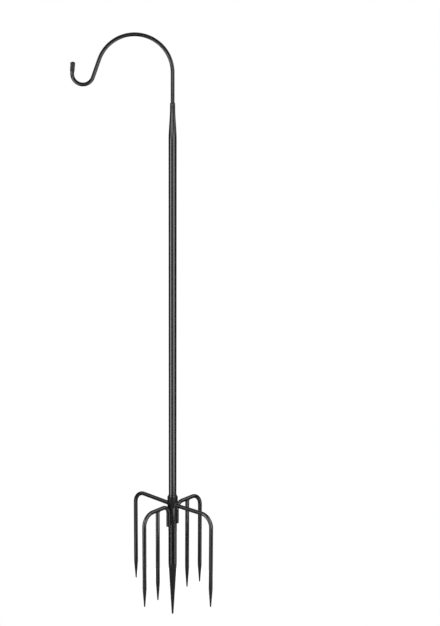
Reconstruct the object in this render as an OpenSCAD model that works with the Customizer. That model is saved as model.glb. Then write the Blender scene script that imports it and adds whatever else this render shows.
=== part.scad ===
// Shepherds hook: a hook section, a pole and a ground stake with seven points.
// The origin is on the pole's axis at the ground line, the underside of the stake's arms.
// +Z is up, and the hook reaches out along -X.

/* [Hook rod] */
// Diameter of the hook's solid rod
rod_d = 7.6; // [6:0.1:9]
// Radius of the arch, to the middle of the rod
arch_r = 73.2; // [55:0.1:100]
// Radius of the small hook, to the middle of the rod
hook_r = 20.6; // [15:0.1:30]
// Lean of the straight leg between the arch and the small hook, from the vertical
leg_lean = 20; // [8:0.5:30]
// How far the small hook's centre lies below the arch's centre
hook_drop = 2.5; // [0:0.5:10]
// Height of the arch's centre above the top of the neck
shank_show = 59; // [25:1:120]
// Lean of the rod's end towards the pole, from the vertical
tip_lean = 4.5; // [0:0.5:12]
// Length of the straight end above the small hook's bend
tip_rise = 19; // [16:0.5:40]

/* [Hook end cap] */
// Length of rod that the cap covers
cap_grip = 15.5; // [8:0.5:16]
// Wall of the cap
cap_wall = 1.05; // [0.6:0.05:2]
// Thickness of the cap's closed end
cap_end = 3; // [1.5:0.5:5]

/* [Pole tube] */
// Outside diameter of the tube
pole_d = 16; // [14:0.1:20]
// Wall of the tube
pole_wall = 1.2; // [0.8:0.1:1.6]
// Length of the tube
pole_len = 872; // [500:1:1200]
// Straight lip at the top of the neck
neck_lip = 6; // [4:1:15]
// Length over which the tube is drawn in to the neck
neck_taper = 68; // [40:1:100]
// Radial clearance of the shank in the neck and the guide
rod_fit = 0.1; // [0.03:0.01:0.1]

/* [Shank guide] */
// Distance from the foot of the neck's taper to the guide
guide_drop = 11; // [2:1:60]
// Depth of the guide's hole
guide_hole = 25; // [15:1:50]
// Thickness of the guide's floor
guide_floor = 5; // [3:1:10]
// Height of the wear tip's head
tip_head = 4; // [2:0.5:6]
// Diameter of the wear tip's stem
tip_stem_d = 3; // [2:0.1:4]
// Length of the wear tip's stem
tip_stem = 8; // [5:0.5:12]
// Radial clearance of the wear tip's stem in the shank
tip_fit = 0.03; // [0.01:0.01:0.1]

/* [Foot plug] */
// Thickness of the plug's flange
plug_flange = 2; // [1.5:0.5:4]
// Length of the plug's spigot
plug_spigot = 16; // [8:1:30]
// Wall of the plug's spigot
plug_wall = 1.6; // [1:0.1:3]
// Radial clearance of the spigot in the tube
plug_fit = 0.06; // [0.02:0.01:0.1]

/* [Socket and spike] */
// Radial clearance of the pole in the socket
pole_fit = 0.1; // [0.03:0.01:0.1]
// Wall of the socket tube
spike_wall = 0.8; // [0.6:0.1:1.6]
// Height of the socket's mouth above the middle of the arms
mouth_rise = 21; // [19:0.5:40]
// Depth of the socket
socket_depth = 60; // [45:1:75]
// Depth below the ground line at which the tube meets the point
point_joint = 56; // [52:1:80]
// How much less the point's radius is than the tube's
point_step = 0.2; // [0.1:0.05:0.4]
// Depth at which the spike starts to taper
spike_taper_depth = 125.5; // [100:0.5:150]
// Depth of the spike's tip
spike_tip_depth = 244; // [200:1:300]
// Diameter of the spike's blunt tip
spike_tip_d = 3.7; // [2:0.1:6]

/* [Collar] */
// Wall of the collar
collar_wall = 1.9; // [1.5:0.1:3]
// Height of the collar's top above the middle of the arms
collar_rise = 18.5; // [8:0.5:20]
// Depth of the collar's foot below the middle of the arms
collar_sink = 4.3; // [4.2:0.1:8]
// Bevel on the collar's top edge
collar_bevel = 1; // [0.4:0.1:1.5]

/* [Prongs] */
// Diameter of the prongs' rods
prong_d = 8.4; // [6:0.1:9]
// Bearing of the two long prongs, from +X towards the front
long_bearing = 42.8; // [35:0.1:55]
// Distance of the two long prongs from the axis
long_reach = 107; // [90:0.5:130]
// Angle at which the long arms climb outwards
long_climb = 1.3; // [0:0.1:5]
// Depth of the long prongs' tips
long_depth = 194; // [150:1:240]
// Distance of the two side prongs from the axis
side_reach = 85.3; // [80:0.1:110]
// Depth of the side prongs' tips
side_depth = 198.5; // [150:0.5:240]
// Distance of the two inner prongs from the axis
inner_reach = 45.2; // [38:0.1:50]
// Depth of the inner prongs' tips
inner_depth = 197; // [150:1:240]
// Radius of the outer bends, to the middle of the rod
bend_r = 25; // [16:0.5:28]
// Radius of the bend down into the inner leg
leg_bend_r = 15.5; // [9:0.5:16]
// Depth of the inner legs' feet
leg_depth = 41; // [30:1:48]
// Length of the prongs' points
prong_point = 41; // [20:1:60]
// Diameter of the prongs' blunt tips
prong_tip_d = 2.8; // [1.5:0.1:4]

/* [Welds] */
// Leg of the fillet welds
weld_leg = 2.4; // [1.5:0.1:3]
// Radius of the beads along the inner legs
bead_r = 2; // [1.2:0.1:2.5]
// Length of inner leg left bare at its foot
bead_stop = 3; // [1:0.5:6]

/* [Hidden] */
$fn = 64;

coat = [0.10, 0.10, 0.11];
cap_black = [0.06, 0.06, 0.06];
nylon = [0.85, 0.84, 0.80];
cut = 1;
neck_steps = 14;
tip_steps = 5;
bead_lift = 0.6;
weld_rise = 1;
band_lip = 0.02;
band_len = 1;

// Radii
rod_r = rod_d / 2;
pole_r = pole_d / 2;
pole_bore_r = pole_r - pole_wall;
rod_bore_r = rod_r + rod_fit;
neck_r = rod_bore_r + pole_wall;
socket_r = pole_r + pole_fit;
spike_r = socket_r + spike_wall;
point_r = spike_r - point_step;
collar_r = spike_r + collar_wall;
prong_r = prong_d / 2;

// Heights of the stake, the pole and the hook, from the ground line up
arm_z = prong_r;
collar_top_z = arm_z + collar_rise;
collar_foot_z = arm_z - collar_sink;
mouth_z = arm_z + mouth_rise;
socket_floor_z = mouth_z - socket_depth;
pole_foot_z = socket_floor_z + plug_flange;
neck_top_z = pole_foot_z + pole_len;
neck_foot_z = neck_top_z - neck_lip - neck_taper;
guide_top_z = neck_foot_z - guide_drop;
guide_floor_z = guide_top_z - guide_hole;
shank_foot_z = guide_floor_z + tip_head;
arch_z = neck_top_z + shank_show;

// Places of the hook: the leg is tangent to the arch and to the small hook
arch_x = -arch_r;
centre_gap = (arch_r + hook_r + hook_drop * sin(leg_lean)) / cos(leg_lean);
hook_x = arch_x - centre_gap;
hook_z = arch_z - hook_drop;
leg_len = centre_gap * sin(leg_lean) + hook_drop * cos(leg_lean);
leg_turn = 180 - leg_lean;

// Places of the prongs: a bearing turns from +X towards +Y, away from the front
side_bearing = 90 - long_bearing;
leg_x = spike_r + prong_r;
leg_bend_x = leg_x + leg_bend_r;

// A straight run of round rod along +Z, with what follows at its end
module run(d, length) {
    cylinder(d = d, h = length);
    translate([0, 0, length]) children();
}

// A bend from +Z towards -X, with what follows at its end
module bend(d, r, angle) {
    translate([-r, 0, 0]) {
        rotate([90, 0, 0]) rotate_extrude(angle = angle) translate([r, 0]) circle(d = d);
        rotate([0, -angle, 0]) translate([r, 0, 0]) children();
    }
}

// A bend that isn't a quarter turn: a faint band closes the seam at its end
module free_bend(d, r, angle) {
    bend(d, r, angle) {
        cylinder(d = d + 2 * band_lip, h = band_len, center = true);
        children();
    }
}

// Rolls what follows over, so that its bends turn the other way
module roll() {
    rotate([0, 0, 180]) children();
}

// A tapered point along +Z with a rounded tip
module point(d, tip_d, length) {
    tip_r = tip_d / 2;
    tip = [for (i = [0 : tip_steps]) let (a = 90 * i / tip_steps)
        [tip_r * cos(a), length - tip_r + tip_r * sin(a)]];
    rotate_extrude() polygon(concat([[0, 0], [d / 2, 0]], tip));
}

// The lower end of a prong along +Z: a straight run and its point
module prong_end(length) {
    run(prong_d, length - prong_point) point(prong_d, prong_tip_d, prong_point);
}

// One long prong along +X: an arm that climbs outwards, a bend and the prong
module long_prong_bar() {
    bend_x = long_reach - bend_r;
    bend_z = arm_z + bend_x * tan(long_climb) - bend_r / cos(long_climb);
    arm_len = bend_x / cos(long_climb) - bend_r * tan(long_climb);
    translate([0, 0, arm_z]) rotate([0, 90 - long_climb, 0]) run(prong_d, arm_len)
        roll() free_bend(prong_d, bend_r, 90 + long_climb) prong_end(bend_z + long_depth);
}

// A long prong, its arm cut to lie against the collar
module long_prong() {
    difference() {
        long_prong_bar();
        cylinder(r = collar_r, h = 8 * prong_r, center = true);
    }
}

// One side prong's bar along +X: the inner leg, the bend, the arm, the bend and the prong
module side_prong_bar() {
    leg_len = arm_z - leg_bend_r + leg_depth;
    arm_len = side_reach - bend_r - leg_bend_x;
    translate([leg_x, 0, -leg_depth]) run(prong_d, leg_len) roll() bend(prong_d, leg_bend_r, 90)
        run(prong_d, arm_len) bend(prong_d, bend_r, 90) prong_end(arm_z - bend_r + side_depth);
}

// A side prong, cut where a thicker collar would stand in its bend
module side_prong() {
    difference() {
        side_prong_bar();
        translate([0, 0, collar_foot_z]) cylinder(r = collar_r, h = collar_top_z - collar_foot_z);
    }
}

// The straight arm of a side prong, which the inner prong is welded under
module side_arm() {
    translate([leg_bend_x, 0, arm_z]) rotate([0, 90, 0]) run(prong_d, side_reach - bend_r - leg_bend_x);
}

// An inner prong along +X, its top shaped to the underside of the side prong's arm
module inner_prong() {
    difference() {
        translate([inner_reach, 0, arm_z]) rotate([180, 0, 0]) prong_end(arm_z + inner_depth);
        side_arm();
    }
}

// The fillet round an arm where it meets the collar
module arm_weld() {
    weld_r = prong_r + weld_leg;
    weld_x = sqrt(collar_r * collar_r - weld_r * weld_r);
    difference() {
        translate([0, 0, arm_z]) rotate([0, 90 - long_climb, 0]) translate([0, 0, weld_x])
            cylinder(r1 = weld_r, r2 = prong_r, h = collar_r + weld_leg - weld_x);
        cylinder(r = collar_r, h = 8 * prong_r, center = true);
        long_prong_bar();
    }
}

// The two beads that run down an inner leg, one in each valley beside the tube
module leg_weld() {
    tube_gap = spike_r + bead_lift * bead_r;
    leg_gap = prong_r + bead_lift * bead_r;
    valley = acos((tube_gap * tube_gap + leg_x * leg_x - leg_gap * leg_gap) / (2 * tube_gap * leg_x));
    bead_len = arm_z - leg_bend_r + leg_depth - bead_stop;
    translate([0, 0, bead_stop - leg_depth]) difference() {
        for (side = [-1, 1]) rotate([0, 0, side * valley]) translate([tube_gap, 0, 0])
            cylinder(r = bead_r, h = bead_len);
        translate([0, 0, -cut]) cylinder(r = spike_r, h = bead_len + 2 * cut);
        translate([leg_x, 0, -cut]) cylinder(r = prong_r, h = bead_len + 2 * cut);
    }
}

// The fillet round the top of an inner prong
module inner_prong_weld() {
    weld_len = weld_leg + weld_rise;
    difference() {
        translate([inner_reach, 0, -weld_leg]) cylinder(r1 = prong_r, r2 = prong_r + weld_leg, h = weld_len);
        translate([inner_reach, 0, -weld_leg - cut]) cylinder(r = prong_r, h = weld_len + 2 * cut);
        side_arm();
    }
}

module hook_rod() {
    color(coat) translate([0, 0, shank_foot_z]) difference() {
        run(rod_d, arch_z - shank_foot_z) free_bend(rod_d, arch_r, leg_turn) run(rod_d, leg_len)
            roll() free_bend(rod_d, hook_r, leg_turn + tip_lean) run(rod_d, tip_rise);
        translate([0, 0, -cut]) cylinder(d = tip_stem_d + 2 * tip_fit, h = tip_stem + 2 * cut);
    }
}

module hook_end_cap() {
    cap_r = rod_r + cap_wall;
    cap_h = cap_grip + cap_end;
    round_r = min(cap_end, cap_r) * 0.9;
    dome = [for (i = [0 : tip_steps]) let (a = 90 * i / tip_steps)
        [cap_r - round_r + round_r * cos(a), cap_h - round_r + round_r * sin(a)]];
    color(cap_black) translate([hook_x, 0, hook_z]) rotate([0, tip_lean, 0])
        translate([-hook_r, 0, tip_rise - cap_grip]) rotate_extrude() polygon(concat(
            [[rod_r, 0], [cap_r, 0]], dome, [[0, cap_h], [0, cap_grip], [rod_r, cap_grip]]));
}

module shank_tip() {
    color(nylon) {
        translate([0, 0, guide_floor_z]) cylinder(r = rod_r, h = tip_head);
        translate([0, 0, shank_foot_z]) cylinder(d = tip_stem_d, h = tip_stem);
    }
}

module pole_tube() {
    taper = [for (i = [0 : neck_steps]) let (t = i / neck_steps)
        [neck_r + (pole_r - neck_r) * (1 + cos(180 * t)) / 2, neck_foot_z + neck_taper * t]];
    outside = concat([[pole_r, pole_foot_z]], taper, [[neck_r, neck_top_z]]);
    inside = [for (i = [len(outside) - 1 : -1 : 0]) [outside[i][0] - pole_wall, outside[i][1]]];
    color(coat) rotate_extrude() polygon(concat(outside, inside));
}

module shank_guide() {
    color(nylon) translate([0, 0, guide_floor_z - guide_floor]) difference() {
        cylinder(r = pole_bore_r, h = guide_floor + guide_hole);
        translate([0, 0, guide_floor]) cylinder(r = rod_bore_r, h = guide_hole + cut);
    }
}

module foot_plug() {
    spigot_r = pole_bore_r - plug_fit;
    color(nylon) translate([0, 0, socket_floor_z]) difference() {
        union() {
            cylinder(r = pole_r, h = plug_flange);
            cylinder(r = spigot_r, h = plug_flange + plug_spigot);
        }
        translate([0, 0, plug_flange]) cylinder(r = spigot_r - plug_wall, h = plug_spigot + cut);
    }
}

module base_collar() {
    color(coat) rotate_extrude() polygon([[spike_r, collar_foot_z], [collar_r, collar_foot_z],
        [collar_r, collar_top_z - collar_bevel], [collar_r - collar_bevel, collar_top_z],
        [spike_r, collar_top_z]]);
}

module spike_tube() {
    color(coat) rotate_extrude() polygon([[socket_r, -point_joint], [spike_r, -point_joint],
        [spike_r, mouth_z], [socket_r, mouth_z]]);
}

module spike_point() {
    color(coat) {
        translate([0, 0, -point_joint]) cylinder(r = socket_r, h = socket_floor_z + point_joint);
        translate([0, 0, -spike_taper_depth]) cylinder(r = point_r, h = spike_taper_depth - point_joint);
        translate([0, 0, -spike_taper_depth]) rotate([180, 0, 0])
            point(2 * point_r, spike_tip_d, spike_tip_depth - spike_taper_depth);
    }
}

module prong_back_left() {
    color(coat) rotate([0, 0, 180 - long_bearing]) long_prong();
}

module prong_front_right() {
    color(coat) rotate([0, 0, -long_bearing]) long_prong();
}

module prong_front_left() {
    color(coat) rotate([0, 0, 180 + side_bearing]) side_prong();
}

module prong_back_right() {
    color(coat) rotate([0, 0, side_bearing]) side_prong();
}

module inner_prong_front() {
    color(coat) rotate([0, 0, 180 + side_bearing]) inner_prong();
}

module inner_prong_back() {
    color(coat) rotate([0, 0, side_bearing]) inner_prong();
}

// The fillet under the collar, no wider than the collar's wall
module collar_weld() {
    leg = min(weld_leg, collar_wall);
    color(coat) difference() {
        translate([0, 0, collar_foot_z - leg]) difference() {
            cylinder(r1 = spike_r, r2 = spike_r + leg, h = leg);
            translate([0, 0, -cut]) cylinder(r = spike_r, h = leg + 2 * cut);
        }
        for (turn = [0, 180]) rotate([0, 0, side_bearing + turn]) side_prong_bar();
    }
}

module arm_welds() {
    color(coat) for (turn = [0, 180]) rotate([0, 0, turn - long_bearing]) arm_weld();
}

module leg_welds() {
    color(coat) for (turn = [0, 180]) rotate([0, 0, turn + side_bearing]) leg_weld();
}

module inner_prong_welds() {
    color(coat) for (turn = [0, 180]) rotate([0, 0, turn + side_bearing]) inner_prong_weld();
}

hook_rod();
hook_end_cap();
shank_tip();
pole_tube();
shank_guide();
foot_plug();
base_collar();
spike_tube();
spike_point();
prong_back_left();
prong_front_right();
prong_front_left();
prong_back_right();
inner_prong_front();
inner_prong_back();
collar_weld();
arm_welds();
leg_welds();
inner_prong_welds();
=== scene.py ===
"""Looks of the shepherds hook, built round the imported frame.

Metres, +Z up. The origin is on the pole's axis at the ground line, and the hook reaches out along -X.
"""
import math

import bpy
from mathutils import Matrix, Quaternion, Vector


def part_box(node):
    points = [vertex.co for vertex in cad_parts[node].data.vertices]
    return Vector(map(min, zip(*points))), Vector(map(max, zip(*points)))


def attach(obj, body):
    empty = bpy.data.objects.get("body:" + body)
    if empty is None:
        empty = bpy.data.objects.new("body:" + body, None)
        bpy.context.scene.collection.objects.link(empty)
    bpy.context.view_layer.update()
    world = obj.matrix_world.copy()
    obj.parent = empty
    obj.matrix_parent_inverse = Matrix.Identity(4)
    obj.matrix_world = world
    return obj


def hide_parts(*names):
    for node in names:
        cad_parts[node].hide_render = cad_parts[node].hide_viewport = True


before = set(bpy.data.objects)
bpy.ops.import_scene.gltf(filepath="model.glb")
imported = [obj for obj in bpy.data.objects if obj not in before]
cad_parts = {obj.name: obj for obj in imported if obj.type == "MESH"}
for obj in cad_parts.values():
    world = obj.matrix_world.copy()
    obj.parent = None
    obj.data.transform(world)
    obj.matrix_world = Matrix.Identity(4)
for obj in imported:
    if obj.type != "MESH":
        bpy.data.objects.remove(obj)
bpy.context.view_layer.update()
bpy.ops.object.select_all(action="DESELECT")

mm = 0.001
UP = Vector((0, 0, 1))
SIDES = 64
BEND_STEP = math.radians(3)
SMOOTH_BELOW = math.radians(35)
MERGE_GAP = 0.002 * mm
RIPPLE_STEPS = 5
RIPPLE_PITCH = 1.5 * mm

# Radii and heights that the frame gives
pole_low, pole_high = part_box("pole_tube")
rod_low, rod_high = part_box("hook_rod")
socket_low, socket_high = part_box("spike_tube")
point_low, point_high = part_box("spike_point")
collar_low, collar_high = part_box("base_collar")
guide_low, guide_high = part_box("shank_guide")
wear_tip_low, wear_tip_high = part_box("shank_tip")
plug_low, plug_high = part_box("foot_plug")
inner_low, inner_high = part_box("inner_prong_front")
pole_r = pole_high.x
rod_r = rod_high.x
cap_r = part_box("hook_end_cap")[1].y
spike_r = socket_high.x
point_r = point_high.x
collar_r = collar_high.x
neck_top_z = pole_high.z
arm_z = inner_high.z
prong_r = arm_z  # the ground line is level with the underside of the arms
long_tip_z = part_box("prong_front_right")[0].z
side_tip_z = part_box("prong_front_left")[0].z
inner_tip_z = inner_low.z

# The hook's bends
arch_r = 73.2 * mm
small_hook_r = 20.6 * mm
leg_lean = math.radians(20)
hook_drop = 2.5 * mm
tip_lean = math.radians(4.5)
tip_rise = 19 * mm
cap_grip = 15.5 * mm
cap_end = 3 * mm
arch_z = rod_high.z - rod_r - arch_r
centre_gap = (arch_r + small_hook_r + hook_drop * math.sin(leg_lean)) / math.cos(leg_lean)
straight_leg = centre_gap * math.sin(leg_lean) + hook_drop * math.cos(leg_lean)
hook_centre = Vector((-arch_r - centre_gap, 0, arch_z - hook_drop))

# Walls and insides of the tubes
pole_wall = 1.2 * mm
neck_r = 5.1 * mm
neck_lip = 6 * mm
neck_taper = 68 * mm
socket_r = 8.1 * mm
neck_foot_z = neck_top_z - neck_lip - neck_taper

# The prongs and the spike
long_bearing = math.radians(-42.8)
side_bearing = math.radians(47.2)
long_climb = math.radians(1.3)
long_reach = 107 * mm
side_reach = 85.3 * mm
inner_reach = 45.2 * mm
bend_r = 25 * mm
leg_bend_r = 15.5 * mm
leg_foot_z = -41 * mm
leg_x = spike_r + prong_r
prong_point = 41 * mm
prong_tip_r = 1.4 * mm
arm_root = 9.5 * mm
spike_taper_z = -125.5 * mm
spike_tip_r = 1.85 * mm

# The weld beads
collar_bead_r = 1.2 * mm
arm_bead_r = 1.35 * mm
leg_bead_r = 1.6 * mm
prong_bead_r = 1.25 * mm

# The photograph's frame in pixels, and the camera fitted to it
photo_w = 440
photo_h = 626
focal_px = 1604.2
pole_px = 172.6
sensor = 36
camera_pitch = math.radians(15)
camera_place = Vector((0, -3.1204, 1.2523))


def leave_edit():
    """Merges doubles, points the normals out, and leaves edit mode."""
    bpy.ops.mesh.select_all(action="SELECT")
    bpy.ops.mesh.remove_doubles(threshold=MERGE_GAP)
    bpy.ops.mesh.normals_make_consistent(inside=False)
    bpy.ops.object.mode_set(mode="OBJECT")
    bpy.ops.object.shade_smooth_by_angle(angle=SMOOTH_BELOW)


def begin_disc(name, radius, centre, heading, fill="NGON"):
    """A disc, or a bare ring, square to heading and selected in edit mode: a piece is drawn from it."""
    bpy.ops.object.select_all(action="DESELECT")
    turn = UP.rotation_difference(heading).to_euler()
    bpy.ops.mesh.primitive_circle_add(vertices=SIDES, radius=radius, fill_type=fill,
                                      location=centre, rotation=turn)
    piece = bpy.context.object
    piece.name = name
    piece.data.name = name
    bpy.ops.object.transform_apply(location=True, rotation=True, scale=True)
    bpy.ops.object.mode_set(mode="EDIT")
    bpy.ops.mesh.select_all(action="SELECT")
    return piece


class Bar:
    """A round bar drawn in edit mode from its first face to its last.

    All its bends turn about one hinge.
    """

    def __init__(self, name, radius, start, heading, hinge):
        self.radius = radius
        self.end = Vector(start)
        self.heading = Vector(heading).normalized()
        self.hinge = Vector(hinge).normalized()
        self.piece = begin_disc(name, radius, self.end, self.heading)

    def run(self, length, end_radius=None):
        """A straight stretch, which may end in another radius."""
        step = self.heading * length
        bpy.ops.mesh.extrude_region_move(TRANSFORM_OT_translate={"value": step})
        self.end = self.end + step
        if end_radius is not None:
            factor = end_radius / self.radius
            bpy.ops.transform.resize(value=(factor, factor, factor), center_override=self.end)
            self.radius = end_radius

    def bend(self, radius, angle):
        """A bend by angle about the hinge, by the right-hand rule. Spin itself turns the other way."""
        inward = self.hinge.cross(self.heading) * math.copysign(radius, angle)
        centre = self.end + inward
        steps = max(4, round(abs(angle) / BEND_STEP))
        bpy.ops.mesh.spin(steps=steps, angle=-angle, center=centre, axis=self.hinge)
        turn = Quaternion(self.hinge, angle)
        self.end = centre - turn @ inward
        self.heading = turn @ self.heading

    def point(self, length, tip_radius):
        """A tapered point with a soft shoulder and a rounded tip."""
        cone = length - tip_radius
        full = self.radius
        reached = 0
        # Shares of the cone's length, each with the share of its narrowing that is reached there
        for share, narrowed in ((0.03, 0.01), (0.07, 0.05), (0.12, 0.11), (0.5, 0.5), (1, 1)):
            self.run(cone * (share - reached), full + (tip_radius - full) * narrowed)
            reached = share
        risen = 0
        for turn in (22, 45, 65, 82):
            rise = tip_radius * math.sin(math.radians(turn))
            self.run(rise - risen, tip_radius * math.cos(math.radians(turn)))
            risen = rise

    def done(self):
        """The finished piece."""
        leave_edit()
        return self.piece


def turned(name, profile, centre_x=0):
    """A piece turned on an upright axis: a disc drawn through (radius, height) pairs.

    A profile that ends where it starts is a hollow piece, drawn from a bare ring.
    """
    hollow = profile[0] == profile[-1]
    radius, height = profile[0]
    start = Vector((centre_x, 0, height))
    piece = begin_disc(name, radius, start, UP, "NOTHING" if hollow else "NGON")
    for next_radius, next_height in profile[1:]:
        bpy.ops.mesh.extrude_region_move(TRANSFORM_OT_translate={"value": (0, 0, next_height - height)})
        factor = next_radius / radius
        bpy.ops.transform.resize(value=(factor, factor, 1), center_override=(centre_x, 0, next_height))
        radius, height = next_radius, next_height
    leave_edit()
    return piece


def arc(centre_r, centre_z, radius, start, end, steps=6):
    """Profile points on an arc from start to end, in degrees, from outwards and up."""
    turns = [math.radians(start + (end - start) * i / steps) for i in range(steps + 1)]
    return [(centre_r + radius * math.cos(t), centre_z + radius * math.sin(t)) for t in turns]


def bearing_vector(bearing):
    """The level direction at a bearing from +X towards +Y."""
    return Vector((math.cos(bearing), math.sin(bearing), 0))


def belongs(piece, node, body, material):
    """The piece stands for a node, rides on its body and has its finish."""
    piece.data.materials.clear()
    piece.data.materials.append(material)
    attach(piece, body)
    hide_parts(node)


# Weld beads

def ripple_count(length):
    """How many points a bead of that length gets, a whole number of ripples."""
    return RIPPLE_STEPS * round(length / RIPPLE_PITCH)


def weld_bead(name, path, bead_r, closed):
    """A bead along a path of points, laid down in ripples that lean on one another."""
    curve = bpy.data.curves.new(name, "CURVE")
    curve.dimensions = "3D"
    curve.bevel_depth = bead_r
    curve.bevel_resolution = 4
    curve.use_fill_caps = not closed
    spline = curve.splines.new("POLY")
    spline.points.add(len(path) - 1)
    spline.use_cyclic_u = closed
    last = len(path) - 1
    for i, place in enumerate(path):
        ripple = (i % RIPPLE_STEPS) / (RIPPLE_STEPS - 1)
        width = 0.86 + 0.14 * math.sin(math.pi * ripple) + 0.05 * math.sin(i * 0.37)
        if not closed:
            width *= min(1, 0.35 + min(i, last - i) / 6)
        spline.points[i].co = (*place, 1)
        spline.points[i].radius = width
    piece = bpy.data.objects.new(name, curve)
    bpy.context.scene.collection.objects.link(piece)
    bpy.ops.object.select_all(action="DESELECT")
    piece.select_set(True)
    bpy.context.view_layer.objects.active = piece
    bpy.ops.object.convert(target="MESH")
    bpy.ops.object.mode_set(mode="EDIT")
    leave_edit()
    return piece


def saddle_path(origin, out, along, ring_r, host_r):
    """A ring round a bar that stands along out on a host bar that lies along along."""
    across = out.cross(along)
    count = ripple_count(2 * math.pi * ring_r)
    path = []
    for i in range(count):
        turn = 2 * math.pi * i / count
        side = ring_r * math.sin(turn)
        depth = min(abs(side), 0.9 * host_r)
        rise = math.sqrt(host_r * host_r - depth * depth)
        path.append(origin + along * (ring_r * math.cos(turn)) + across * side + out * rise)
    return path


def joined(name, pieces):
    """Several beads as one piece."""
    bpy.ops.object.select_all(action="DESELECT")
    for piece in pieces:
        piece.select_set(True)
    bpy.context.view_layer.objects.active = pieces[0]
    bpy.ops.object.join()
    pieces[0].name = name
    pieces[0].data.name = name
    return pieces[0]


def collar_bead():
    """The bead under the collar, round the spike tube."""
    ring_r = spike_r + 0.7 * mm
    count = ripple_count(2 * math.pi * ring_r)
    turns = [2 * math.pi * i / count for i in range(count)]
    height = collar_low.z - 0.5 * mm
    path = [Vector((ring_r * math.cos(t), ring_r * math.sin(t), height)) for t in turns]
    return weld_bead("bead_under_collar", path, collar_bead_r, True)


def arm_beads():
    """The beads where the long arms meet the collar."""
    beads = []
    for bearing in (long_bearing, long_bearing + math.pi):
        out = bearing_vector(bearing)
        root = Vector((0, 0, arm_z + collar_r * math.tan(long_climb)))
        path = saddle_path(root, out, UP, prong_r + 0.5 * mm, collar_r - 0.2 * mm)
        beads.append(weld_bead("arm_bead", path, arm_bead_r, True))
    return joined("beads_round_long_arms", beads)


def leg_beads():
    """The beads in the two valleys between each inner leg and the spike tube."""
    valley_gap = spike_r + 0.55 * leg_bead_r
    leg_gap = prong_r + 0.55 * leg_bead_r
    valley = math.acos((valley_gap ** 2 + leg_x ** 2 - leg_gap ** 2) / (2 * valley_gap * leg_x))
    top = arm_z - leg_bend_r
    bottom = leg_foot_z + 3 * mm
    count = ripple_count(top - bottom)
    beads = []
    for bearing in (side_bearing, side_bearing + math.pi):
        for side in (-valley, valley):
            place = bearing_vector(bearing + side) * valley_gap
            path = [place + UP * (bottom + (top - bottom) * i / count) for i in range(count + 1)]
            beads.append(weld_bead("leg_bead", path, leg_bead_r, False))
    return joined("beads_along_inner_legs", beads)


def inner_prong_beads():
    """The beads round the tops of the inner prongs, under the arms."""
    beads = []
    for bearing in (side_bearing, side_bearing + math.pi):
        along = bearing_vector(bearing)
        root = along * inner_reach + UP * arm_z
        path = saddle_path(root, -UP, along, prong_r + 0.4 * mm, prong_r - 0.2 * mm)
        beads.append(weld_bead("prong_bead", path, prong_bead_r, True))
    return joined("beads_on_inner_prongs", beads)


# Pieces of the hook section

def hook_rod():
    """The bent rod: the shank, the arch, the straight leg and the small hook."""
    chamfer = 0.5 * mm
    bar = Bar("bent_rod", rod_r - chamfer, (0, 0, rod_low.z), UP, (0, 1, 0))
    bar.run(chamfer, rod_r)
    bar.run(arch_z - rod_low.z - chamfer)
    turn = math.pi - leg_lean
    bar.bend(arch_r, -turn)
    bar.run(straight_leg)
    bar.bend(small_hook_r, turn + tip_lean)
    bar.run(tip_rise)
    return bar.done()


def hook_end_cap():
    """The moulded cap: a rolled lip, a slight waist, a soft shoulder and a low dome with its gate mark."""
    foot = tip_rise - cap_grip
    top = tip_rise + cap_end
    waist_r = cap_r - 0.3 * mm
    lip = 0.55 * mm
    round_r = 1.5 * mm
    gate_r = 0.9 * mm
    profile = [(rod_r - 0.1 * mm, foot + 1 * mm), (rod_r + 0.1 * mm, foot)]
    profile += arc(cap_r - lip, foot + lip, lip, -90, 60)
    profile += [(waist_r, foot + 2.4 * mm), (waist_r, foot + 11 * mm), (cap_r - 0.1 * mm, top - 4 * mm)]
    profile += arc(cap_r - round_r, top - 1.3 * mm - round_r, round_r, 0, 68)
    profile += [(gate_r, top - 0.3 * mm), (gate_r * 0.8, top), (gate_r * 0.4, top)]
    cap = turned("moulded_end_cap", profile, -small_hook_r)
    cap.rotation_euler = (0, tip_lean, 0)
    cap.location = hook_centre
    bpy.ops.object.transform_apply(location=True, rotation=True, scale=True)
    return cap


def shank_tip():
    """The nylon wear tip: a chamfered head and the stem that is pressed into the rod."""
    stem_r = 1.5 * mm
    head_top = rod_low.z
    chamfer = 0.6 * mm
    profile = [(rod_r - chamfer, wear_tip_low.z), (rod_r, wear_tip_low.z + chamfer)]
    profile += [(rod_r, head_top - 0.3 * mm), (rod_r - 0.3 * mm, head_top), (stem_r, head_top)]
    profile += [(stem_r, wear_tip_high.z - 0.5 * mm), (stem_r - 0.5 * mm, wear_tip_high.z)]
    return turned("wear_tip", profile)


# Pieces of the pole

def pole_tube():
    """The long tube, drawn in to its neck, with a rolled lip and a deburred foot."""
    steps = 32
    shares = [i / steps for i in range(steps + 1)]
    narrowing = [(1 + math.cos(math.pi * s)) / 2 for s in shares]
    taper = [(neck_r + (pole_r - neck_r) * n, neck_foot_z + neck_taper * s)
             for n, s in zip(narrowing, shares)]
    lip = pole_wall / 2
    burr = 0.25 * mm
    profile = [(pole_r - burr, pole_low.z), (pole_r, pole_low.z + burr)]
    profile += taper
    profile += arc(neck_r - lip, neck_top_z - lip, lip, 0, 180, 10)
    profile += [(r - pole_wall, z) for r, z in reversed(taper)]
    profile += [(pole_r - pole_wall, pole_low.z), (pole_r - burr, pole_low.z)]
    return turned("necked_tube", profile)


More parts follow.
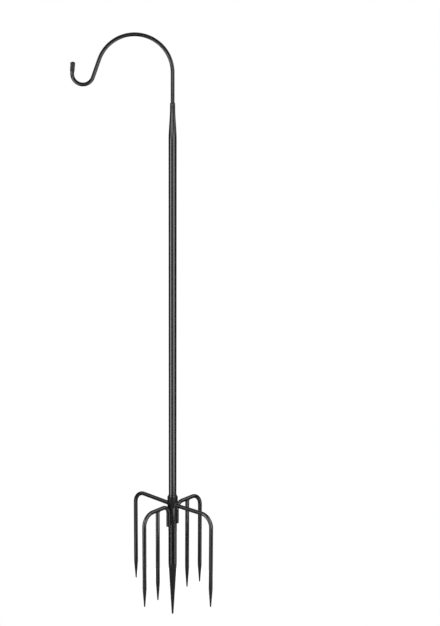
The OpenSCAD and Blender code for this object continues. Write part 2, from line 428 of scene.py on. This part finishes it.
def shank_guide():
    """The nylon plug in the tube, its blind hole led in by a countersink."""
    outer = guide_high.x
    bore = rod_r + 0.1 * mm
    lead = 0.8 * mm
    profile = [(outer - lead, guide_low.z), (outer, guide_low.z + lead), (outer, guide_high.z - lead / 2)]
    profile += [(outer - lead / 2, guide_high.z), (bore + lead, guide_high.z), (bore, guide_high.z - lead)]
    floor_z = wear_tip_low.z - 0.01 * mm
    profile += [(bore, floor_z), (0.5 * mm, floor_z)]
    return turned("guide_plug", profile)


def foot_plug():
    """The nylon plug under the tube: a flange that the pole stands on and a hollow ribbed spigot."""
    flange_r = plug_high.x
    spigot_r = pole_r - pole_wall - 0.1 * mm
    spigot_bore = spigot_r - 1.6 * mm
    rib = 0.3 * mm
    chamfer = 0.4 * mm
    floor_z = pole_low.z + 0.3 * mm
    profile = [(flange_r - chamfer, plug_low.z), (flange_r, plug_low.z + chamfer)]
    profile += [(flange_r, pole_low.z - 0.1 * mm), (spigot_r - rib, pole_low.z - 0.02 * mm)]
    for row in range(4):
        foot = pole_low.z + (2 + 3 * row) * mm
        profile += [(spigot_r - rib, foot), (spigot_r, foot + 0.4 * mm), (spigot_r, foot + 0.9 * mm)]
    profile += [(spigot_r - 0.4 * mm, plug_high.z), (spigot_bore + 0.3 * mm, plug_high.z)]
    profile += [(spigot_bore, plug_high.z - 0.3 * mm), (spigot_bore, floor_z), (0.5 * mm, floor_z)]
    return turned("foot_plug_ribbed", profile)


# Pieces of the stake

def base_collar():
    """The ring round the socket's mouth, with a worn bevel and rounded lower edge."""
    bevel = 1 * mm
    soft = 0.3 * mm
    inner = spike_r - 0.05 * mm
    foot, top = collar_low.z, collar_high.z
    profile = [(inner, foot)]
    profile += arc(collar_r - soft, foot + soft, soft, -90, 0, 4)
    profile += arc(collar_r - soft, top - bevel - soft, soft, 0, 45, 3)
    profile += arc(collar_r - bevel - soft, top - soft, soft, 45, 90, 3)
    profile += [(inner, top), (inner, foot)]
    return turned("socket_collar", profile)


def spike_tube():
    """The stake's shaft, open at its rolled mouth."""
    lip = (spike_r - socket_r) / 2
    burr = 0.2 * mm
    profile = [(spike_r - burr, socket_low.z), (spike_r, socket_low.z + burr)]
    profile += arc(spike_r - lip, socket_high.z - lip, lip, 0, 180, 8)
    profile += [(socket_r, socket_low.z), (spike_r - burr, socket_low.z)]
    return turned("socket_shaft", profile)


def spike_point():
    """The solid point: the spigot in the tube, a straight stretch and a long taper."""
    spigot_r = socket_r - 0.02 * mm
    chamfer = 0.25 * mm
    bar = Bar("long_point", spigot_r, (0, 0, point_high.z), -UP, (0, 1, 0))
    bar.run(point_high.z - socket_low.z)
    bar.run(0, point_r - chamfer)
    bar.run(chamfer, point_r)
    bar.run(socket_low.z - chamfer - spike_taper_z)
    bar.point(spike_taper_z - point_low.z, spike_tip_r)
    return bar.done()


def long_prong(name, bearing):
    """A long prong: the arm that climbs outwards from the collar, the bend and the prong."""
    out = bearing_vector(bearing)
    hinge = UP.cross(out)
    heading = out * math.cos(long_climb) + UP * math.sin(long_climb)
    root = out * arm_root + UP * (arm_z + arm_root * math.tan(long_climb))
    bar = Bar(name, prong_r, root, heading, hinge)
    arm_len = (long_reach - bend_r) / math.cos(long_climb) - bend_r * math.tan(long_climb)
    bar.run(arm_len - arm_root / math.cos(long_climb))
    bar.bend(bend_r, math.pi / 2 + long_climb)
    bar.run(bar.end.z - long_tip_z - prong_point)
    bar.point(prong_point, prong_tip_r)
    return bar.done()


def side_prong(name, bearing):
    """A side prong: the inner leg, the bend, the arm, the bend and the prong."""
    out = bearing_vector(bearing)
    chamfer = 0.4 * mm
    bar = Bar(name, prong_r - chamfer, out * leg_x + UP * leg_foot_z, UP, UP.cross(out))
    bar.run(chamfer, prong_r)
    bar.run(arm_z - leg_bend_r - leg_foot_z - chamfer)
    bar.bend(leg_bend_r, math.pi / 2)
    bar.run(side_reach - bend_r - leg_x - leg_bend_r)
    bar.bend(bend_r, math.pi / 2)
    bar.run(bar.end.z - side_tip_z - prong_point)
    bar.point(prong_point, prong_tip_r)
    return bar.done()


def inner_prong(name, bearing):
    """An inner prong, straight down from inside the side prong's arm."""
    out = bearing_vector(bearing)
    bar = Bar(name, 0.9 * prong_r, out * inner_reach + UP * arm_z, -UP, out)
    bar.run(1.5 * mm, prong_r)
    bar.run(bar.end.z - inner_tip_z - prong_point)
    bar.point(prong_point, prong_tip_r)
    return bar.done()


# Nodes and finishes

class Nodes:
    """The nodes of a material or a world, drawn one after another."""

    def __init__(self, owner):
        owner.use_nodes = True
        self.tree = owner.node_tree

    def node(self, kind, **settings):
        made = self.tree.nodes.new(kind)
        for key, value in settings.items():
            setattr(made, key, value)
        return made

    def link(self, source, target):
        self.tree.links.new(source, target)

    def span(self, source, low, high, out_low, out_high):
        """Source from low to high becomes out_low to out_high, with soft ends."""
        made = self.node("ShaderNodeMapRange", interpolation_type="SMOOTHSTEP")
        self.link(source, made.inputs["Value"])
        limits = {"From Min": low, "From Max": high, "To Min": out_low, "To Max": out_high}
        for key, value in limits.items():
            made.inputs[key].default_value = value
        return made.outputs["Result"]

    def combine(self, operation, first, second):
        """What the operation makes of first and second. Second may be a plain number."""
        made = self.node("ShaderNodeMath", operation=operation)
        self.link(first, made.inputs[0])
        if isinstance(second, float):
            made.inputs[1].default_value = second
        else:
            self.link(second, made.inputs[1])
        return made.outputs["Value"]

    def plain(self, kind, grey, output):
        """A shader of kind in plain grey."""
        made = self.node(kind)
        made.inputs["Color"].default_value = (grey, grey, grey, 1)
        return made.outputs[output]

    def mix(self, share, first, second):
        """Share of the second shader over the first."""
        made = self.node("ShaderNodeMixShader")
        self.link(share, made.inputs["Fac"])
        self.link(first, made.inputs[1])
        self.link(second, made.inputs[2])
        return made.outputs["Shader"]

    def seen_share(self, path, mirrored):
        """How much a ray sees the white backdrop.

        It is 1 for the camera's and clear rays, mirrored for mirrored ones, and 0 for the rest.
        """
        dim = self.combine("MULTIPLY", path.outputs["Is Glossy Ray"], mirrored)
        share = self.combine("MAXIMUM", path.outputs["Is Camera Ray"], dim)
        return self.combine("MAXIMUM", share, path.outputs["Is Transmission Ray"])


class Finish(Nodes):
    """The nodes of a piece's finish, round its shader."""

    def __init__(self, name):
        self.material = bpy.data.materials.new(name)
        super().__init__(self.material)
        self.shader = self.tree.nodes["Principled BSDF"]
        self.place = self.node("ShaderNodeTexCoord").outputs["Object"]

    def noise(self, scale, detail, roughness=0.5):
        made = self.node("ShaderNodeTexNoise")
        self.link(self.place, made.inputs["Vector"])
        made.inputs["Scale"].default_value = scale
        made.inputs["Detail"].default_value = detail
        made.inputs["Roughness"].default_value = roughness
        return made.outputs["Fac"]

    def blend(self, share, first, second):
        """Share of the second colour over the first. Either may be a socket or a plain colour."""
        made = self.node("ShaderNodeMix", data_type="RGBA")
        self.link(share, made.inputs["Factor"])
        for socket, colour in ((made.inputs["A"], first), (made.inputs["B"], second)):
            if isinstance(colour, tuple):
                socket.default_value = (*colour, 1)
            else:
                self.link(colour, socket)
        return made.outputs["Result"]

    def bump(self, height, strength, distance, below=None):
        """A normal with height's relief in it, over another relief where below is given."""
        made = self.node("ShaderNodeBump")
        made.inputs["Strength"].default_value = strength
        made.inputs["Distance"].default_value = distance
        self.link(height, made.inputs["Height"])
        if below is not None:
            self.link(below, made.inputs["Normal"])
        return made.outputs["Normal"]

    def height(self):
        """The height above the ground line."""
        split = self.node("ShaderNodeSeparateXYZ")
        self.link(self.place, split.inputs["Vector"])
        return split.outputs["Z"]


def powder_coat(name, rubbed_below=None, lumps=0.0, dull=0.0):
    """Satin black powder coat: orange peel, fine grain, a slight change of gloss and a little dust.

    Below the height rubbed_below it is rubbed in streaks, lumps is the relief of a weld under it, and
    dull takes gloss away.
    """
    coat = Finish(name)
    cloud = coat.noise(14, 5, 0.6)
    grain = coat.noise(2600, 2)
    cloudy = coat.span(cloud, 0.35, 0.7, 0.0, 1.0)
    colour = coat.blend(cloudy, (0.004, 0.004, 0.0042), (0.008, 0.008, 0.0083))
    gloss = coat.span(cloud, 0.3, 0.7, 0.18 + dull, 0.23 + dull)
    gloss = coat.combine("ADD", gloss, coat.span(grain, 0.3, 0.7, -0.01, 0.015))
    dust = coat.span(coat.noise(260, 6, 0.7), 0.66, 0.82, 0.0, 0.12)
    colour = coat.blend(dust, colour, (0.03, 0.029, 0.027))
    gloss = coat.combine("ADD", gloss, coat.span(dust, 0.0, 0.12, 0.0, 0.03))
    if rubbed_below is not None:
        low = coat.span(coat.height(), rubbed_below - 4 * mm, rubbed_below, 1.0, 0.0)
        streaks = coat.span(coat.noise(320, 4, 0.7), 0.52, 0.6, 0.0, 1.0)
        rubbed = coat.combine("MULTIPLY", low, streaks)
        colour = coat.blend(rubbed, colour, (0.09, 0.09, 0.09))
    peel = coat.bump(coat.noise(620, 2), 0.08, 0.03 * mm)
    fine = coat.bump(grain, 0.04, 0.02 * mm, peel)
    if lumps:
        fine = coat.bump(coat.noise(900, 3), lumps, 0.2 * mm, fine)
    coat.link(colour, coat.shader.inputs["Base Color"])
    coat.link(gloss, coat.shader.inputs["Roughness"])
    coat.link(fine, coat.shader.inputs["Normal"])
    coat.shader.inputs["Specular IOR Level"].default_value = 0.5 - 1.2 * dull
    coat.shader.inputs["Coat Weight"].default_value = 0.0 if dull else 0.3
    coat.shader.inputs["Coat Roughness"].default_value = 0.09
    return coat.material


def soft_vinyl():
    """Black moulded vinyl: duller than the coat, with a fine grain and a faint bloom."""
    vinyl = Finish("black_vinyl")
    cloud = vinyl.noise(160, 4)
    cloudy = vinyl.span(cloud, 0.35, 0.7, 0.0, 1.0)
    colour = vinyl.blend(cloudy, (0.014, 0.014, 0.014), (0.028, 0.027, 0.026))
    gloss = vinyl.span(vinyl.noise(900, 3), 0.3, 0.7, 0.42, 0.56)
    normal = vinyl.bump(vinyl.noise(1500, 3), 0.3, 0.04 * mm)
    vinyl.link(colour, vinyl.shader.inputs["Base Color"])
    vinyl.link(gloss, vinyl.shader.inputs["Roughness"])
    vinyl.link(normal, vinyl.shader.inputs["Normal"])
    return vinyl.material


def natural_nylon():
    """Natural white nylon: slightly waxy, with faint turning marks and a little soil."""
    nylon = Finish("natural_nylon")
    soil = nylon.span(nylon.noise(240, 6, 0.7), 0.5, 0.75, 0.0, 0.5)
    colour = nylon.blend(soil, (0.78, 0.77, 0.72), (0.55, 0.52, 0.45))
    rings = nylon.node("ShaderNodeTexWave", wave_type="BANDS", bands_direction="Z")
    nylon.link(nylon.place, rings.inputs["Vector"])
    rings.inputs["Scale"].default_value = 500
    rings.inputs["Distortion"].default_value = 0.6
    gloss = nylon.span(nylon.noise(700, 3), 0.3, 0.7, 0.38, 0.5)
    nylon.link(colour, nylon.shader.inputs["Base Color"])
    nylon.link(gloss, nylon.shader.inputs["Roughness"])
    nylon.link(nylon.bump(rings.outputs["Fac"], 0.15, 0.03 * mm), nylon.shader.inputs["Normal"])
    nylon.shader.inputs["Subsurface Weight"].default_value = 0.08
    nylon.shader.inputs["Subsurface Scale"].default_value = 1 * mm
    return nylon.material


# The object

def build_object():
    """Each piece of the hook in its finish, in place of its node."""
    coat = powder_coat("powder_coat_satin_black")
    rod_coat = powder_coat("powder_coat_on_rod", rubbed_below=neck_top_z - 2 * mm)
    weld_coat = powder_coat("powder_coat_over_weld", lumps=0.4)
    dull_weld_coat = powder_coat("powder_coat_over_leg_weld", lumps=0.4, dull=0.25)
    dull_coat = powder_coat("powder_coat_on_collar", dull=0.25)
    vinyl = soft_vinyl()
    nylon = natural_nylon()
    belongs(hook_rod(), "hook_rod", "hook", rod_coat)
    belongs(hook_end_cap(), "hook_end_cap", "hook", vinyl)
    belongs(shank_tip(), "shank_tip", "tip", nylon)
    belongs(pole_tube(), "pole_tube", "pole", coat)
    belongs(shank_guide(), "shank_guide", "pole", nylon)
    belongs(foot_plug(), "foot_plug", "foot", nylon)
    belongs(base_collar(), "base_collar", "stake", dull_coat)
    belongs(spike_tube(), "spike_tube", "stake", coat)
    belongs(spike_point(), "spike_point", "stake", coat)
    for node, side in (("prong_front_right", 0), ("prong_back_left", math.pi)):
        prong = long_prong("long_" + node, long_bearing + side)
        belongs(prong, node, "stake", coat)
    for node, side in (("prong_back_right", 0), ("prong_front_left", math.pi)):
        prong = side_prong("side_" + node, side_bearing + side)
        belongs(prong, node, "stake", coat)
    for node, side in (("inner_prong_back", 0), ("inner_prong_front", math.pi)):
        prong = inner_prong("straight_" + node, side_bearing + side)
        belongs(prong, node, "stake", coat)
    belongs(collar_bead(), "collar_weld", "stake", weld_coat)
    belongs(arm_beads(), "arm_welds", "stake", weld_coat)
    belongs(leg_beads(), "leg_welds", "stake", dull_weld_coat)
    belongs(inner_prong_beads(), "inner_prong_welds", "stake", weld_coat)


# Floor, backdrop, lamps and camera

floor_r = 0.24
floor_fade_r = 0.13
floor_drop = 1 * mm
floor_grey = 0.2
floor_white = 1.21
floor_share = 0.8
mirrored_floor = 0.02
mirrored_world = 1.0
mirrored_side = 0.02
mirrored_backdrop = 0.6
backdrop_rim = 0.94
backdrop_full = 0.99
soft_light = 0.25
panel_distance = 1.6


def pale_floor():
    """A pale floor just under the spike's tip. It shows white, keeps a soft shadow and fades at its rim."""
    bpy.ops.object.select_all(action="DESELECT")
    bpy.ops.mesh.primitive_circle_add(vertices=96, radius=floor_r, fill_type="NGON",
                                      location=(0, 0, point_low.z - floor_drop))
    floor = bpy.context.object
    floor.name = "pale_floor"
    bpy.ops.object.transform_apply(location=True, rotation=True, scale=True)
    material = bpy.data.materials.new("pale_floor")
    nodes = Nodes(material)
    nodes.tree.nodes.clear()
    shaded = nodes.plain("ShaderNodeBsdfDiffuse", floor_grey, "BSDF")
    white = nodes.node("ShaderNodeEmission")
    white.inputs["Color"].default_value = (1, 1, 1, 1)
    white.inputs["Strength"].default_value = floor_white
    place = nodes.node("ShaderNodeTexCoord")
    flat = nodes.node("ShaderNodeVectorMath", operation="MULTIPLY")
    flat.inputs[1].default_value = (1, 1, 0)
    nodes.link(place.outputs["Object"], flat.inputs[0])
    far = nodes.node("ShaderNodeVectorMath", operation="LENGTH")
    nodes.link(flat.outputs["Vector"], far.inputs[0])
    fade = nodes.span(far.outputs["Value"], floor_fade_r, floor_r, floor_share, 1)
    seen = nodes.seen_share(nodes.node("ShaderNodeLightPath"), mirrored_floor)
    share = nodes.combine("MULTIPLY", seen, fade)
    mixed = nodes.mix(share, shaded, white.outputs["Emission"])
    nodes.link(mixed, nodes.node("ShaderNodeOutputMaterial").inputs["Surface"])
    floor.data.materials.append(material)


def studio_world():
    """White to the camera, soft grey light, and in reflections dim but for the white backdrop behind."""
    world = bpy.data.worlds.new("studio")
    bpy.context.scene.world = world
    nodes = Nodes(world)
    nodes.tree.nodes.clear()
    soft = nodes.plain("ShaderNodeBackground", soft_light, "Background")
    white = nodes.plain("ShaderNodeBackground", 1, "Background")
    place = nodes.node("ShaderNodeTexCoord")
    split = nodes.node("ShaderNodeSeparateXYZ")
    nodes.link(place.outputs["Generated"], split.inputs["Vector"])
    mirrored = nodes.node("ShaderNodeBackground")
    behind = nodes.span(split.outputs["Y"], backdrop_rim, backdrop_full, mirrored_side, mirrored_backdrop)
    nodes.link(behind, mirrored.inputs["Color"])
    path = nodes.node("ShaderNodeLightPath")
    seen = nodes.seen_share(path, mirrored_world)
    dim = nodes.mix(seen, soft, mirrored.outputs["Background"])
    shown = nodes.mix(path.outputs["Is Camera Ray"], dim, white)
    nodes.link(shown, nodes.node("ShaderNodeOutputWorld").inputs["Surface"])


def panel(name, place, aim, width, height, radiance):
    """A soft rectangular lamp at place that faces aim."""
    lamp = bpy.data.lights.new(name, "AREA")
    lamp.shape = "RECTANGLE"
    lamp.size = width
    lamp.size_y = height
    lamp.energy = radiance * math.pi * width * height
    holder = bpy.data.objects.new(name, lamp)
    bpy.context.scene.collection.objects.link(holder)
    holder.location = place
    holder.rotation_euler = (Vector(aim) - Vector(place)).to_track_quat("-Z", "Y").to_euler()
    holder.visible_camera = False


def side_panel(name, bearing, foot, top, width, radiance, away=panel_distance):
    """An upright panel beside the object: bearing is in degrees from straight in front, to the right."""
    turn = math.radians(bearing)
    middle = (foot + top) / 2
    place = (away * math.sin(turn), -away * math.cos(turn), middle)
    panel(name, place, (0, 0, middle), width, top - foot, radiance)


def studio_lamps():
    """Panels at the sides in front, low ones that the stake mirrors, strips that the neck mirrors,
    one high on the right, one overhead and dim ones far out at the sides.
    """
    side_panel("left_panel", -56, -0.31, 0.68, 0.43, 5.0, 0.8)
    side_panel("neck_strip", -27, 0.71, 0.87, 2.9, 3.6)
    side_panel("neck_top_strip", -24, 0.63, 0.71, 1.7, 3.2)
    side_panel("right_panel", 36, -0.165, 0.755, 0.5, 3.0, 0.5)
    side_panel("low_left_panel", -44, -1.25, -0.64, 1.1, 2.2)
    side_panel("low_right_panel", 72, -1.25, -0.64, 1.1, 1.9)
    side_panel("high_right_panel", 82, 0.66, 1.3, 1.6, 1.8)
    panel("far_left_panel", (-2.64, 0.8, 2.84), (0, 0, 0), 2.6, 2.6, 0.7)
    panel("far_right_panel", (2.64, 0.8, 2.84), (0, 0, 0), 2.6, 2.6, 0.9)
    panel("level_left_panel", (-3.8, 0.28, 1.6), (0, 0, 0), 3.0, 0.9, 1.3)
    panel("level_right_panel", (3.8, 0.28, 1.6), (0, 0, 0), 3.0, 0.9, 1.3)
    panel("top_panel", (0, 0.2, 2.6), (0, 0, 0.5), 1.6, 1.6, 1.0)


def photo_camera():
    """The camera that was fitted to the photograph."""
    camera = bpy.data.cameras.new("photo_camera")
    camera.sensor_width = sensor
    camera.lens = focal_px / photo_h * sensor
    camera.shift_x = (photo_w / 2 - pole_px) / photo_h
    holder = bpy.data.objects.new("photo_camera", camera)
    bpy.context.scene.collection.objects.link(holder)
    holder.location = camera_place
    holder.rotation_euler = (math.pi / 2 - camera_pitch, 0, 0)
    bpy.context.scene.camera = holder


photo_camera()
build_object()
pale_floor()
studio_world()
studio_lamps()
bpy.context.scene.view_settings.view_transform = "Standard"
